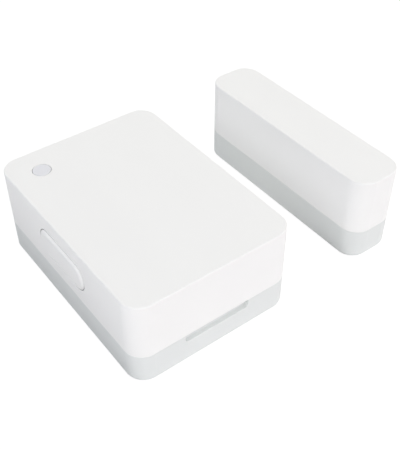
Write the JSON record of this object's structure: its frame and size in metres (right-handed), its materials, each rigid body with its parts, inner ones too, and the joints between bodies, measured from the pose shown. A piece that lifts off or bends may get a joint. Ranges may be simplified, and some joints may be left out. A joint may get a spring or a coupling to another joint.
{
  "type": "door and window sensor",
  "caption": "Small wireless door and window sensor with a coin cell, side button and light window, and its separate bar magnet unit, both with adhesive backs.",
  "frame": {"origin": "centre of the sensor's adhesive face, on the surface that it sticks to", "axes": "+X from the sensor towards the magnet unit, +Y along both units, away from the pry slot, +Z out of the surface"},
  "size_m": [0.0439, 0.0332, 0.0135],
  "materials": {
    "cover_white": "fine satin moulded plastic",
    "base_grey": "fine satin moulded plastic, pale cool grey",
    "foam_tape": "closed-cell foam with an adhesive face",
    "window_clear": "frosted clear light pipe",
    "board_green": "solder mask over laminate",
    "nickel_steel": "nickel-plated steel",
    "gold_plate": "tinned or gold-plated brass",
    "black_plastic": "glass-filled plastic",
    "gasket_plastic": "sealing plastic",
    "capacitor_ceramic": "fired ceramic, tinned ends",
    "resistor_ceramic": "fired ceramic, glazed top",
    "antenna_ceramic": "fired ceramic",
    "reed_glass": "sealed glass tube",
    "lamp_resin": "clear resin package",
    "sensor_resin": "dark clear resin package",
    "magnet_nickel": "nickel-plated magnet",
    "cell_cathode": "pressed oxide powder",
    "cell_anode": "soft metal foil"
  },
  "bodies": {
    "sensor_base": {"sensor_base": "base_grey", "sensor_tape_pad": "foam_tape"},
    "sensor_cover": {"sensor_cover": "cover_white", "light_window": "window_clear", "circuit_board": "board_green", "board_screws": "nickel_steel", "battery_holder": "black_plastic", "positive_contact": "gold_plate", "negative_contact": "gold_plate", "switch_body": "black_plastic", "switch_frame": "nickel_steel", "switch_dome": "nickel_steel", "switch_terminals": "gold_plate", "reed_glass": "reed_glass", "reed_fixed_blade": "nickel_steel", "reed_lead": "nickel_steel", "radio_chip": "black_plastic", "crystal": "nickel_steel", "chip_antenna": "antenna_ceramic", "light_sensor": "sensor_resin", "status_led": "lamp_resin", "chip_capacitors": "capacitor_ceramic", "chip_resistors": "resistor_ceramic"},
    "button": {"side_button": "cover_white"},
    "plunger": {"switch_plunger": "black_plastic"},
    "cell": {"battery_can": "nickel_steel", "battery_cap": "nickel_steel", "battery_gasket": "gasket_plastic", "battery_cathode": "cell_cathode", "battery_anode": "cell_anode"},
    "reed_blade": {"reed_moving_blade": "nickel_steel"},
    "magnet_unit": {"magnet_base": "base_grey", "magnet_tape_pad": "foam_tape", "magnet_cover": "cover_white", "bar_magnet": "magnet_nickel"}
  },
  "joints": [
    {"name": "cover_lift", "type": "slide", "parent": "sensor_base", "child": "sensor_cover", "axis": [0, 0, 1], "range_m": [0, 0.025]},
    {"name": "button_press", "type": "slide", "parent": "sensor_cover", "child": "button", "axis": [1, 0, 0], "range_m": [0, 0.00025], "stiffness_N_per_m": 1000},
    {"name": "plunger_press", "type": "slide", "parent": "sensor_cover", "child": "plunger", "axis": [1, 0, 0], "range_m": [0, 0.00025]},
    {"name": "cell_out", "type": "slide", "parent": "sensor_cover", "child": "cell", "axis": [0, 0, -1], "range_m": [0, 0.008]},
    {"name": "reed_open", "type": "hinge", "parent": "sensor_cover", "child": "reed_blade", "pos_m": [0.0088, 0.00359, 0.00836], "axis": [-1, 0, 0], "range_deg": [0, 1.8]},
    {"name": "magnet_travel", "type": "slide", "parent": "sensor_base", "child": "magnet_unit", "axis": [1, 0, 0], "range_m": [0, 0.03]}
  ],
  "couplings": [
    {"joint": "plunger_press", "follows": "button_press", "ratio": 1},
    {"joint": "cell_out", "follows": "cover_lift", "ratio": 0.32},
    {"joint": "reed_open", "follows": "magnet_travel", "rad_per_m": 1.047}
  ]
}
